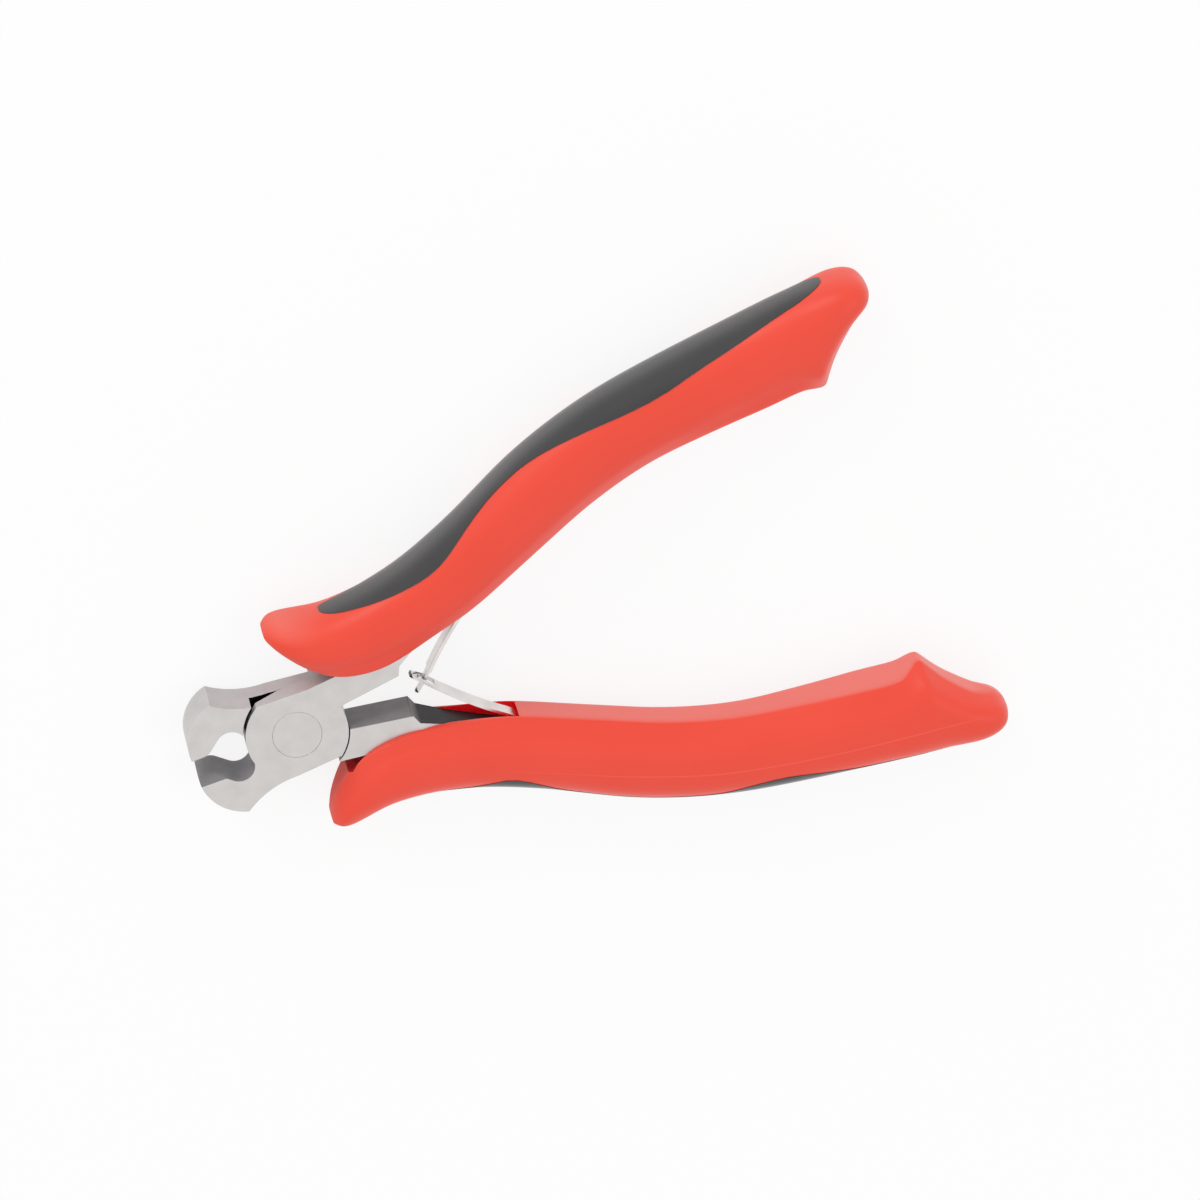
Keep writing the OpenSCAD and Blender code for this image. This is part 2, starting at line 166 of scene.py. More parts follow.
class Finish:
    """The nodes of a new material, or of the world, and the method that adds one."""

    def __init__(self, name, world=False):
        self.owner = (bpy.data.worlds if world else bpy.data.materials).new(name)
        self.end = "ShaderNodeOutputWorld" if world else "ShaderNodeOutputMaterial"
        self.owner.use_nodes = True
        self.tree = self.owner.node_tree
        self.tree.nodes.clear()

    def node(self, kind, settings=None, sockets=None, out=0):
        made = self.tree.nodes.new(kind)
        for name, value in (settings or {}).items():
            setattr(made, name, value)
        for name, value in (sockets or {}).items():
            if isinstance(value, Wire):
                self.tree.links.new(value.socket, made.inputs[name])
            else:
                made.inputs[name].default_value = value
        return Wire(self, made.outputs[out])

    def coordinates(self, scale=(1, 1, 1)):
        place = self.node("ShaderNodeTexCoord", out="Object")
        return self.node("ShaderNodeMapping", sockets={"Vector": place, "Scale": scale})

    def noise(self, coordinates, scale, detail=2.0):
        sockets = {"Vector": coordinates, "Scale": scale, "Detail": detail}
        return self.node("ShaderNodeTexNoise", sockets=sockets)

    def ramp(self, value, low, high):
        """0 at low, 1 at high and straight between them."""
        sockets = {"Value": value, "From Min": low, "From Max": high}
        return self.node("ShaderNodeMapRange", sockets=sockets)

    def stored(self, name):
        return self.node("ShaderNodeAttribute", {"attribute_name": name}, out="Fac")

    def along(self):
        """Place along the tool, in metres."""
        place = self.node("ShaderNodeTexCoord", out="Object")
        return self.node("ShaderNodeSeparateXYZ", sockets={0: place}, out="X")

    def blend(self, factor, first, second):
        return self.node("ShaderNodeMix", {"data_type": "RGBA"}, {0: factor, 6: first, 7: second}, out=2)

    def bump(self, height, distance, strength=1.0):
        sockets = {"Height": height, "Distance": distance, "Strength": strength}
        return self.node("ShaderNodeBump", sockets=sockets, out="Normal")

    def surface(self, **sockets):
        named = {name.replace("_", " "): value for name, value in sockets.items()}
        return self.output(self.node("ShaderNodeBsdfPrincipled", sockets=named))

    def output(self, shader):
        last = self.tree.nodes.new(self.end)
        self.tree.links.new(shader.socket, last.inputs["Surface"])
        return self.owner

    def seen(self):
        """1 for rays that show a background as it is, 0 for rays that carry its light."""
        kinds = ("Is Camera Ray", "Is Glossy Ray", "Is Transmission Ray")
        camera, glossy, through = [self.node("ShaderNodeLightPath", out=kind) for kind in kinds]
        return camera + glossy + through


print("shader helpers ready")

# %% [markdown]
# ## Working in edit mode
# By hand, one selects, presses a key and drags. In a script the same operators run on what is selected,
# so a few helpers do the selecting: one object alone, then points or faces by where they lie. A copy of a
# CAD node starts as loose triangles. Its doubles are merged and its flat faces joined before anything else.

# %% Helpers for edit mode
WELD = 0.002 * MM
FLAT_ANGLE = math.radians(1)
SOFT_ANGLE = math.radians(35)
SLOTS = 6


def only(obj):
    if bpy.context.object and bpy.context.object.mode != "OBJECT":
        bpy.ops.object.mode_set(mode="OBJECT")
    bpy.ops.object.select_all(action="DESELECT")
    obj.select_set(True)
    bpy.context.view_layer.objects.active = obj


def edit(obj, kind="VERT"):
    only(obj)
    bpy.ops.object.mode_set(mode="EDIT")
    bpy.ops.mesh.select_mode(type=kind)
    bpy.ops.mesh.select_all(action="DESELECT")


def done():
    bpy.ops.object.mode_set(mode="OBJECT")


def pick(obj, kind, test):
    """Selects the points, edges or faces of a mesh in edit mode that pass a test."""
    mesh = bmesh.from_edit_mesh(obj.data)
    for item in getattr(mesh, kind):
        item.select_set(False)
    chosen = [item for item in getattr(mesh, kind) if test(item)]
    for item in chosen:
        item.select_set(True)
    mesh.select_flush_mode()
    bmesh.update_edit_mesh(obj.data)
    return len(chosen)


def added(name):
    """Names the primitive that was just added and puts its place into its mesh."""
    obj = bpy.context.object
    obj.name = obj.data.name = name
    bpy.ops.object.transform_apply(location=True, rotation=True, scale=True)
    return obj


def copy_of(node, name):
    """A copy of a CAD node as one welded mesh with flat faces joined."""
    obj = frame["nodes"][node].copy()
    obj.data = obj.data.copy()
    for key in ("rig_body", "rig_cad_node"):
        del obj[key]
    obj.parent = None
    obj.name = obj.data.name = name
    bpy.context.scene.collection.objects.link(obj)
    obj.data.materials.clear()
    edit(obj)
    bpy.ops.mesh.select_all(action="SELECT")
    bpy.ops.mesh.customdata_custom_splitnormals_clear()
    bpy.ops.mesh.remove_doubles(threshold=WELD)
    bpy.ops.mesh.dissolve_limited(angle_limit=FLAT_ANGLE)
    done()
    return obj


def apply_modifiers(obj):
    only(obj)
    for modifier in list(obj.modifiers):
        bpy.ops.object.modifier_apply(modifier=modifier.name)


def mark(obj, index):
    """Gives a piece its material slots, and all its faces the one with this number."""
    while len(obj.data.materials) < SLOTS:
        obj.data.materials.append(None)
    for face in obj.data.polygons:
        face.material_index = index
    return obj


def carve(obj, cutter):
    """Cuts one closed mesh out of another, and removes the cutter."""
    cut = obj.modifiers.new("cut", "BOOLEAN")
    cut.operation = "DIFFERENCE"
    cut.solver = "EXACT"
    cut.object = cutter
    apply_modifiers(obj)
    bpy.data.objects.remove(cutter)


def fatten(obj, distance):
    edit(obj)
    bpy.ops.mesh.select_all(action="SELECT")
    bpy.ops.transform.shrink_fatten(value=distance, use_even_offset=True)
    done()
    return obj


def smooth(obj, angle=SOFT_ANGLE):
    only(obj)
    bpy.ops.object.shade_smooth_by_angle(angle=angle)


def open_edges(obj):
    """Number of edges that don't have exactly two faces: none in a closed mesh."""
    mesh = bmesh.new()
    mesh.from_mesh(obj.data)
    count = sum(len(edge.link_faces) != 2 for edge in mesh.edges)
    mesh.free()
    return count


print("edit helpers ready")

# %% [markdown]
# ## The profile of a grip
# Seen from the side, a grip flares at the front, swells twice and ends in a small ridge with a hollow tail.
# It could be drawn with a picture behind it. Here a few points along each edge are enough, with a smooth
# curve through them. Each row is a distance from the flared tip and a value there, in millimetres. The last
# rows close the tail in a dome.

# %% Grip profile
OUTER = [
    (0, 15.7), (0.8, 16.5), (2.4, 16.7), (9.5, 15.7), (19.5, 17.25), (29.5, 21.4), (40.5, 27.3),
    (49.5, 30.8), (58.5, 33.1), (76.5, 35.9), (90, 37.6), (92.8, 37.4), (94.4, 36.8), (95.15, 36.1),
    (95.5, 35.4), (95.7, 34.8), (96, 34.4),
]
INNER = [
    (0, 15.1), (0.5, 13.6), (1.5, 11.9), (3.8, 9.1), (6.5, 7.1), (9.5, 5.95), (13.5, 5.5), (16.5, 5.75),
    (19.5, 6.3), (22, 6.9), (25.5, 7.75), (29.5, 9), (40.5, 14), (49.5, 18), (58.5, 20.8), (67.5, 22.2),
    (76.5, 23.2), (82.5, 23.75), (84.3, 23), (85, 22.65), (85.7, 22.55), (86.1, 22.85), (86.6, 23.7),
    (88.3, 26.3), (91.1, 29.4), (93, 30.9), (94.3, 31.8), (95.05, 32.6), (95.5, 33.4), (95.7, 34),
    (96, 34.4),
]
THICK = [
    (0, 5), (1.5, 9), (4.5, 11.1), (9, 11.65), (88, 11.65), (91.5, 11.3), (93.5, 10.2), (94.6, 8.7),
    (95.2, 6.9), (95.55, 4.6), (95.7, 2.6), (96, 1.6),
]
# Width of the flat band along the inner side, as a share of its usual width
BAND = [
    (0, 1), (4, 1.15), (8, 1.55), (15, 1.6), (22, 1.15), (30, 1), (60, 1), (72, 1.25), (80, 1.4),
    (83.5, 1.15), (85.5, 0.6), (88, 0.65), (91, 0.78), (93.5, 0.55), (96, 0.25),
]
# Height of the moulding line along the far side
SEAM = [
    (0, 15.4), (4, 13), (10, 12.2), (20, 13.4), (30.7, 17.6), (41, 22.3), (51.7, 26.4), (60, 28.5),
    (71.7, 30.5), (82, 31.7), (91.3, 32.7), (96, 34),
]
# Reach of the grey inlay to its two sides: the near side of the upper grip, and its far side
INLAY = [
    (8.5, 0.7), (9.1, 1.7), (10.8, 2.75), (13.5, 3.5), (17, 4.2), (22, 4.85), (25, 5.05),
    (27.5, 4.95), (30, 4.5), (32.5, 3.9), (35, 3.45), (37.5, 3.25), (42.5, 3.4), (50.5, 4.6),
    (57, 5.2), (63.5, 5.3), (70, 4.9), (77, 4.3), (84, 3.3),
    (87.5, 2.55), (89.2, 1.6), (89.8, 0.7),
]
INLAY_FAR = [
    (8.5, 0.6), (9.1, 1.3), (12, 2.2), (16, 2.8), (19, 3.6), (22.5, 4.8), (26, 5.35), (29.5, 4.9),
    (33.5, 3.5), (37, 2.9), (45, 3.1), (52, 3.8), (57, 4.9), (63.5, 5.2), (70, 4.5), (75, 3.6), (84, 2.6),
    (87.5, 2.1), (89.2, 1.4), (89.8, 0.7),
]
grip_low, grip_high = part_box("upper_grip_shell")
GRIP_START = grip_low.x
GRIP_SCALE = (grip_high.x - grip_low.x) / OUTER[-1][0]


def slope(rows, i):
    before, after = rows[max(i - 1, 0)], rows[min(i + 1, len(rows) - 1)]
    return (after[1] - before[1]) / (after[0] - before[0])


def curve(rows, at):
    """Value of the smooth curve through the rows, held level beyond its ends."""
    at = min(max(at, rows[0][0]), rows[-1][0])
    i = next(k for k in range(len(rows) - 1) if at <= rows[k + 1][0])
    span = rows[i + 1][0] - rows[i][0]
    rise = rows[i + 1][1] - rows[i][1]
    t = (at - rows[i][0]) / span
    first, last = slope(rows, i) * span, slope(rows, i + 1) * span
    return rows[i][1] + t * (first + t * (3 * rise - 2 * first - last + t * (first + last - 2 * rise)))


def grip_x(at):
    return GRIP_START + at * GRIP_SCALE


def along_grip(x):
    return (x - GRIP_START) / GRIP_SCALE


def station(at):
    """Middle, half height and half thickness of a grip's section, in metres."""
    outer, inner = curve(OUTER, at) * GRIP_SCALE, curve(INNER, at) * GRIP_SCALE
    middle = Vector((grip_x(at), (outer + inner) / 2, MID_Z))
    return middle, (outer - inner) / 2, curve(THICK, at) / 2 * GRIP_SCALE


print("grip length in mm:", round((grip_high.x - grip_low.x) / MM, 1))

# %% [markdown]
# ## The body of a grip
# A grip is a moulded bar whose section hardly changes: a rounded back, flat sides and a flat band along
# the inner side with tighter corners. It could be sculpted from a box. A moulded bar is easier as a
# section that is extruded from station to station, moved and scaled each time, and smoothed at the end.
# The section starts as a square, and bevels on its corner points round the back and chamfer the band.

# %% Section of a grip
CHAMFER = 0.58
NEAR = 1e-4
STATIONS = [0, 0.25, 0.8, 1.5, 2.6, 3.8, 5.2, 6.7, 8.3]
STATIONS += [10 + 2 * k for k in range(37)]
STATIONS += [
    83.2, 84.3, 85, 85.4, 85.8, 86.2, 86.7, 87.5, 88.6, 90, 91.3, 92.4, 93.3, 94, 94.5, 94.9,
    95.2, 95.45, 95.6, 95.7,
]

bpy.ops.object.select_all(action="DESELECT")
bpy.ops.mesh.primitive_plane_add(size=2, rotation=(0, math.pi / 2, 0))
grip = added("upper_grip_red")
edit(grip)
# Corners to bevel: which points, how far, in how many steps and how round
CORNERS = [
    (lambda p: p.y < -1 + NEAR, CHAMFER, 1, 0.5),
    (lambda p: abs(p.z) > 1 - NEAR and p.y < 0, 0.3, 4, 0.5),
    (lambda p: p.y < -1 + NEAR, 0.05, 2, 0.5),
    (lambda p: p.y > 1 - NEAR, 1.0, 10, 0.6),
]
for test, size, steps, roundness in CORNERS:
    pick(grip, "verts", lambda v: test(v.co))
    bpy.ops.mesh.bevel(
        offset=size, offset_type="OFFSET", segments=steps, profile=roundness, affect="VERTICES"
    )
bpy.ops.mesh.select_all(action="SELECT")
bpy.ops.mesh.remove_doubles(threshold=NEAR)
done()
print("points round the section:", len(grip.data.vertices))

# %% Extrude the section along the grip
BAND_EDGE = 0.93
middle, high, thick = station(STATIONS[0])
edit(grip)
bpy.ops.mesh.select_all(action="SELECT")
bpy.ops.transform.resize(value=(1, high, thick), center_override=(0, 0, 0))
bpy.ops.transform.translate(value=middle)
wide = 1
for at in STATIONS[1:]:
    last_middle, last_high, last_thick, last_wide = middle, high, thick, wide
    middle, high, thick = station(at)
    wide = curve(BAND, at)
    pick(grip, "verts", lambda v: abs(v.co.x - last_middle.x) < WELD)
    bpy.ops.mesh.extrude_region_move(TRANSFORM_OT_translate={"value": middle - last_middle})
    bpy.ops.transform.resize(value=(1, high / last_high, thick / last_thick), center_override=middle)
    if abs(wide - last_wide) > NEAR:
        below = middle.y - BAND_EDGE * high
        pick(grip, "verts", lambda v: abs(v.co.x - middle.x) < WELD and v.co.y < below)
        bpy.ops.transform.resize(value=(1, 1, wide / last_wide), center_override=middle)
bpy.ops.mesh.select_all(action="SELECT")
bpy.ops.mesh.normals_make_consistent(inside=False)
done()
soft = grip.modifiers.new("soft", "SUBSURF")
soft.levels = soft.render_levels = 1
apply_modifiers(grip)
print("grip faces:", len(grip.data.polygons), "open edges:", open_edges(grip))

# %% [markdown]
# ## The soft inlay and its pocket
# The grey inlay is moulded into the back of the grip, flush with the red, in an outline with two lobes.
# It could be a separate lump that is pushed in. Cutting the outline into the grip's own skin is better:
# both pieces then share one edge. A strip with the inlay's outline is extruded through the back, and the
# Intersect operator scores its line into the skin. The skin inside the line is copied for the inlay, and
# then pushed in along its normals to make the pocket.

# %% Outline of the inlay
LIFT = 2 * MM
SCORE_DEPTH = 7 * MM
INLAY_STEPS = 64
inlay_start, inlay_end = INLAY[0][0], INLAY[-1][0]


def inlay_reach(at):
    """Reach of the inlay's outline to the near and the far side, in metres."""
    return curve(INLAY, at) * GRIP_SCALE, curve(INLAY_FAR, at) * GRIP_SCALE


def inlay_at(k):
    """Middle and half height of the inlay's outline at step k, closer together near both ends."""
    share = (1 - math.cos(math.pi * k / INLAY_STEPS)) / 2
    at = inlay_start + (inlay_end - inlay_start) * share
    near, far = inlay_reach(at)
    middle = Vector((grip_x(at), curve(OUTER, at) * GRIP_SCALE + LIFT, MID_Z + (near - far) / 2))
    return middle, (near + far) / 2


bpy.ops.object.select_all(action="DESELECT")
bpy.ops.mesh.primitive_plane_add(size=2, rotation=(-math.pi / 2, 0, 0))
scorer = added("inlay_outline")
edit(scorer)
pick(scorer, "verts", lambda v: v.co.x > 0)
bpy.ops.mesh.delete(type="VERT")
point, half = inlay_at(0)
bpy.ops.mesh.select_all(action="SELECT")
bpy.ops.transform.resize(value=(1, 1, half), center_override=(0, 0, 0))
bpy.ops.transform.translate(value=point + Vector((1, 0, 0)))
for k in range(1, INLAY_STEPS + 1):
    last_point, last_half = point, half
    point, half = inlay_at(k)
    bpy.ops.mesh.extrude_region_move(TRANSFORM_OT_translate={"value": point - last_point})
    bpy.ops.transform.resize(value=(1, 1, half / last_half), center_override=point)
bpy.ops.mesh.select_all(action="SELECT")
bpy.ops.mesh.extrude_region_move(TRANSFORM_OT_translate={"value": (0, -SCORE_DEPTH, 0)})
bpy.ops.mesh.select_all(action="SELECT")
bpy.ops.mesh.normals_make_consistent(inside=False)
done()
print("outline faces:", len(scorer.data.polygons), "open edges:", open_edges(scorer))

# %% Score the skin and part it
POCKET = 1.2 * MM
INSIDE = 0.02 * MM
CUTTER = 1
SLIVER = 0.03 * MM


def in_inlay(face):
    """True for a face of the skin inside the inlay's outline."""
    centre = face.calc_center_median()
    at = along_grip(centre.x)
    if not inlay_start < at < inlay_end:
        return False
    near, far = inlay_reach(at)
    return centre.y > station(at)[0].y and -far < centre.z - MID_Z < near


grip.data.materials.append(None)
scorer.data.materials.append(bpy.data.materials.new("outline mark"))
only(grip)
scorer.select_set(True)
bpy.ops.object.join()
edit(grip, "FACE")
pick(grip, "faces", lambda f: f.material_index == CUTTER)
bpy.ops.mesh.intersect(mode="SELECT_UNSELECT", separate_mode="CUT", solver="EXACT")
pick(grip, "faces", lambda f: f.material_index == CUTTER)
bpy.ops.mesh.delete(type="FACE")
bpy.ops.mesh.select_all(action="SELECT")
bpy.ops.mesh.remove_doubles(threshold=SLIVER)
inside = pick(grip, "faces", in_inlay)
bpy.ops.mesh.duplicate()
bpy.ops.mesh.separate(type="SELECTED")
done()
inlay = next(o for o in bpy.context.selected_objects if o != grip)
inlay.name = inlay.data.name = "upper_grip_grey"
print("skin inside the outline:", inside, "faces; open edges of the grip:", open_edges(grip))

# %% Push the pocket in and thicken the inlay
PROUD = 0.1 * MM

edit(grip, "FACE")
pick(grip, "faces", in_inlay)
bpy.ops.mesh.extrude_region_shrink_fatten(TRANSFORM_OT_shrink_fatten={"value": -POCKET})
done()

edit(inlay, "FACE")
bpy.ops.mesh.select_all(action="SELECT")
bpy.ops.transform.shrink_fatten(value=PROUD)
bpy.ops.mesh.extrude_region_shrink_fatten(TRANSFORM_OT_shrink_fatten={"value": -POCKET - PROUD + INSIDE})
bpy.ops.mesh.select_all(action="SELECT")
bpy.ops.mesh.normals_make_consistent(inside=False)
done()
print("inlay faces:", len(inlay.data.polygons), "open edges:", open_edges(inlay), open_edges(grip))

# %% [markdown]
# ## The mouth, the slot and the room for the tang
# The lever's arm runs into the open front of the grip, and its tang continues inside. A slot in the inner
# side lets the spring leaf swing out. In the mould these are cores. Here they are plain cuts, so they are
# Boolean modifiers: plates for the mouth, the slot and the taper between them, and slightly fattened copies
# of the steel that has to fit in. The arm stays thick up to its heel, so the copy of the lever that cuts is
# changed in the same way as the lever that is seen.

# %% Plates and steel to cut with
TANG_ANGLE = math.radians(29.2)
HEEL = Vector((16.8, 4.75)) * MM
FLANK_END = 20.8 * MM
ARM_BACK = Vector((8.0, 6.6)) * MM
SLOT_END = 30.2 * MM
SLOT_WIDTH = 5.1 * MM
MOUTH_WIDTH = 6.9 * MM
MOUTH_GAP = 1.4 * MM
FIT = 0.05 * MM
TANG_BACK = 14.25 * MM
# Points farther than this from the middle lie on a side of the steel
OFF_MIDDLE = 2 * MM


def plate(name, outline, low, high):
    """A flat plate from one height to another: a disc with a corner for each point of its outline."""
    bpy.ops.object.select_all(action="DESELECT")
    bpy.ops.mesh.primitive_circle_add(vertices=len(outline), fill_type="NGON")
    obj = added(name)
    for corner, point in zip(obj.data.vertices, outline):
        corner.co = (*point, low)
    edit(obj)
    bpy.ops.mesh.select_all(action="SELECT")
    bpy.ops.mesh.extrude_region_move(TRANSFORM_OT_translate={"value": (0, 0, high - low)})
    bpy.ops.mesh.select_all(action="SELECT")
    bpy.ops.mesh.normals_make_consistent(inside=False)
    done()
    return obj


def tang_face(x):
    return HEEL.y + (x - HEEL.x) * math.tan(TANG_ANGLE)


def full_heel(lever):
    """Keeps the arm at its full thickness up to the heel, and tapers the tang behind it instead."""
    edit(lever)
    bpy.ops.mesh.select_all(action="SELECT")
    bpy.ops.mesh.bisect(plane_co=(FLANK_END, 0, 0), plane_no=(1, 0, 0))
    done()
    for corner in lever.data.vertices:
        height = corner.co.z - MID_Z
        if HEEL.x - MM < corner.co.x < HEEL.x + FIT and abs(height) > OFF_MIDDLE:
            corner.co.z = JOINT_HIGH.z if height > 0 else JOINT_LOW.z
    return lever


print("tang tapers over", round((FLANK_END - HEEL.x) / MM, 1), "mm behind the heel")

# %% [markdown]
# ### The cuts
# The faces of each cutter are marked first. The faces that it leaves in the grip then have a slot of their
# own and take a red with painted light in the slot and painted shade in the mouth. Cuts that graze each
# other leave slivers, so these are welded, and what then stands loose is removed.

# %% Cut the grip
INNER_SKIN = 1
WAIST_SHARE = 0.35
slot_start = HEEL.x - MM
slot_outline = [
    (slot_start, 0), (SLOT_END, 0), (SLOT_END, tang_face(SLOT_END) + FIT), (slot_start, HEEL.y + FIT),
]
arm_end = Vector((HEEL.x, TANG_BACK))
waist = ARM_BACK.lerp(arm_end, WAIST_SHARE) + Vector((0, 2 * FIT))
mouth_outline = [
    (-MM, 0), (HEEL.x, 0), tuple(arm_end), tuple(waist),
    (ARM_BACK.x, ARM_BACK.y + MOUTH_GAP), (-MM, ARM_BACK.y + 2 * MOUTH_GAP),
]
# The slot that marked the outline is free again, and takes the faces that are cut
grip.data.materials[INNER_SKIN] = None
for name, outline, width in (("mouth", mouth_outline, MOUTH_WIDTH), ("slot", slot_outline, SLOT_WIDTH)):
    cutter = plate(name, outline, MID_Z - width / 2, MID_Z + width / 2)
    carve(grip, mark(cutter, INNER_SKIN))
flank_outline = [
    (HEEL.x, 0), (FLANK_END, 0), (FLANK_END, tang_face(FLANK_END) + FIT), (HEEL.x, HEEL.y + FIT),
]
flank = plate("flank", flank_outline, MID_Z - MOUTH_WIDTH / 2, MID_Z + MOUTH_WIDTH / 2)
edit(flank)
pick(flank, "verts", lambda v: v.co.x > HEEL.x + FIT)
bpy.ops.transform.resize(value=(1, 1, SLOT_WIDTH / MOUTH_WIDTH), center_override=(0, 0, MID_Z))
done()
carve(grip, mark(flank, INNER_SKIN))
carve(grip, mark(fatten(full_heel(copy_of("front_lever", "tang_room")), FIT), INNER_SKIN))
for node, room in (("upper_leaf_spring", 4 * FIT), ("upper_spring_rivet", 3 * FIT)):
    carve(grip, mark(fatten(copy_of(node, "room_cut"), room), INNER_SKIN))
print("grip faces after the cuts:", len(grip.data.polygons))

# %% Weld the slivers
edit(grip, "FACE")
bpy.ops.mesh.select_all(action="SELECT")
bpy.ops.mesh.remove_doubles(threshold=3 * WELD)
bpy.ops.mesh.dissolve_degenerate(threshold=WELD)
pick(grip, "faces", lambda f: any(edge.is_boundary for edge in f.edges))
bpy.ops.mesh.delete(type="FACE")
done()
print("grip faces:", len(grip.data.polygons), "open edges:", open_edges(grip))

# %% [markdown]
# ## The moulding line
# A thin line runs along one side of a grip, where the halves of its mould met, and its paler colour is a
# painted highlight. The flat inner band is painted paler than the sides, as light falling on it. A finish
# can't find them from coordinates alone, because the grip bends. So each point stores three distances in
# millimetres as named attributes that the finish reads: above the line, above the inner band, and from the
# middle towards the far side. The second grip is the first, turned over.

# %% Moulding line, and the second grip
def store(obj, name, measure):
    """Stores a distance in millimetres for each point of a piece."""
    attribute = obj.data.attributes.new(name, "FLOAT", "POINT")
    for vertex, item in zip(obj.data.vertices, attribute.data):
        item.value = measure(vertex.co) / MM


def above(rows):
    return lambda point: point.y - curve(rows, along_grip(point.x)) * GRIP_SCALE


def turned_over(obj, name):
    """A copy of a piece of the upper half, turned over about the tool's long axis for the lower half."""
    twin = obj.copy()
    twin.data = obj.data.copy()
    twin.name = twin.data.name = name
    bpy.context.scene.collection.objects.link(twin)
    edit(twin)
    bpy.ops.mesh.select_all(action="SELECT")
    bpy.ops.transform.rotate(value=math.pi, orient_axis="X", center_override=(0, 0, MID_Z))
    done()
    return twin


store(grip, "seam", above(SEAM))
store(grip, "rise", above(INNER))
store(grip, "far", lambda point: MID_Z - point.z)
for obj in (grip, inlay):
    smooth(obj)
lower_grip = turned_over(grip, "lower_grip_red")
lower_inlay = turned_over(inlay, "lower_grip_grey")
print("lower grip from y", round(min(v.co.y for v in lower_grip.data.vertices) / MM, 1), "mm")

# %% [markdown]
# ## The steel levers
# Each lever is forged and then ground: jaw, round lap, arm and tang in one piece. It could be modelled
# again, but its exact shape is the CAD node's, so a welded copy is taken, with the arm thick up to its
# heel. Where the lap turns in the shoulder of the other jaw, wear has opened a slit and the foot of the
# lap is cut back. Both are small cuts, and their faces are painted black as shade.

# %% Slit and foot of the lap
LAP_R = 7.3 * MM
LAP_DEEP = 4 * MM
SLIT_WIDE = 0.9 * MM
SLIT_NARROW = 0.225 * MM
SLIT_STEPS = 24
FOOT = [(-5.4, 4.7), (0.3, 6.2), (-5.4, 7.5)]
FOOT_HIGH = 2.3 * MM
MATING = 0.1 * MM
BRIGHT, DARK, GAP_PAINTED_SHADE, OXIDE_PAINTED_SHADE, WALL_PAINTED_SHADE, WEAR_AND_HIGHLIGHT = range(SLOTS)


def on_side(low, high, up):
    """Heights above the joint's middle, for the lever whose lap is on top or turned over."""
    return (MID_Z + low, MID_Z + high) if up > 0 else (MID_Z - high, MID_Z - low)


def open_shoulder(lever, up):
    """Widens the slit beside the jaw's shoulder and cuts the foot of the lap back to a wedge."""
    arc = []
    for k in range(SLIT_STEPS + 1):
        share = k / SLIT_STEPS
        turn = math.pi / 2 * (1 + share)
        reach = LAP_R + SLIT_WIDE + (SLIT_NARROW - SLIT_WIDE) * share
        arc.append((math.cos(turn) * reach, -up * math.sin(turn) * reach))
    # The cut faces are painted black as shade.
    carve(lever, mark(plate("slit_cut", [(0, 0)] + arc, *on_side(-LAP_DEEP, 0, up)), GAP_PAINTED_SHADE))
    foot = [(x * MM, up * y * MM) for x, y in FOOT]
    wedge = plate("foot_cut", foot, *on_side(-MATING, FOOT_HIGH, up))
    edit(wedge)
    pick(wedge, "verts", lambda v: v.co.x > 0 and abs(v.co.z - MID_Z) > FOOT_HIGH / 2)
    bpy.ops.transform.translate(value=(0, 0, -up * FOOT_HIGH))
    done()
    carve(lever, mark(wedge, GAP_PAINTED_SHADE))


print("slit narrows from", SLIT_WIDE / MM, "to", SLIT_NARROW / MM, "mm")

# %% [markdown]
# ### Which face has which finish
# Grinding leaves the flat sides bright and the narrow walls rougher, and the walls are painted darker as
# shade. The faces that look at the centre line keep their dark scale; where a jaw slopes they take a darker
# copy of it as painted shade, and the faces where the laps meet are painted black as shade. They could be
# painted one by one, but place and normal tell them apart, so a function picks the slot.

# %% Slots for the faces
# Shares of a normal, along the pivot or across the tool, that part one kind of face from another
FLAT = 0.8
UPRIGHT = 0.5
SLOPING = 0.15
INWARD = 0.3
ACROSS = 0.6
# Ends of the hollow behind the cutting edge: along the tool and across it
THROAT = (11.5 * MM, 4.2 * MM)
# The nose of a jaw begins at its outer corner, and its dark faces end before the joint
CORNER_X = -10.1 * MM
JAW_FROM = -6.2 * MM
ARM_FROM = 5.0 * MM


def tone(face, up):
    """Slot for a face, by place and normal; up is 1 for the lever whose arm is at +Y."""
    flat = abs(face.normal.z)
    looks = face.normal.y * up
    in_throat = -THROAT[0] < face.center.x < JAW_FROM and face.center.y * up > -THROAT[1]
    jaw = face.center.x < JAW_FROM and (looks > INWARD or in_throat)
    arm = face.center.x > ARM_FROM and looks < -INWARD
    # Faces at the joint's middle, where the laps meet, are painted black as shade.
    if flat > FLAT:
        return GAP_PAINTED_SHADE if abs(face.center.z - MID_Z) < MATING else BRIGHT
    # Sloping jaw faces get a darker copy of the oxide as painted shade.
    if jaw or arm:
        return OXIDE_PAINTED_SHADE if jaw and flat > SLOPING else DARK
    # Walls get a darker copy of the ground steel as painted shade.
    return WALL_PAINTED_SHADE if abs(looks) > ACROSS and flat < UPRIGHT and face.center.x > CORNER_X else BRIGHT


print("kinds of face on a lever:", SLOTS)

# %% [markdown]
# ### Broken edges
# A ground edge is never quite sharp, and it wears to a thin bright line. Each edge could be chamfered by
# hand. A Bevel modifier with a limit on the angle finds them all, and puts its new faces in the slot for
# worn edges, whose brighter colour is part wear and part painted highlight. Those that look the way the dark
# faces do turn dark again.

# %% Broken edges, and the two levers
EDGE = 0.12 * MM
EDGE_ANGLE = math.radians(32)
EDGE_STEPS = 3


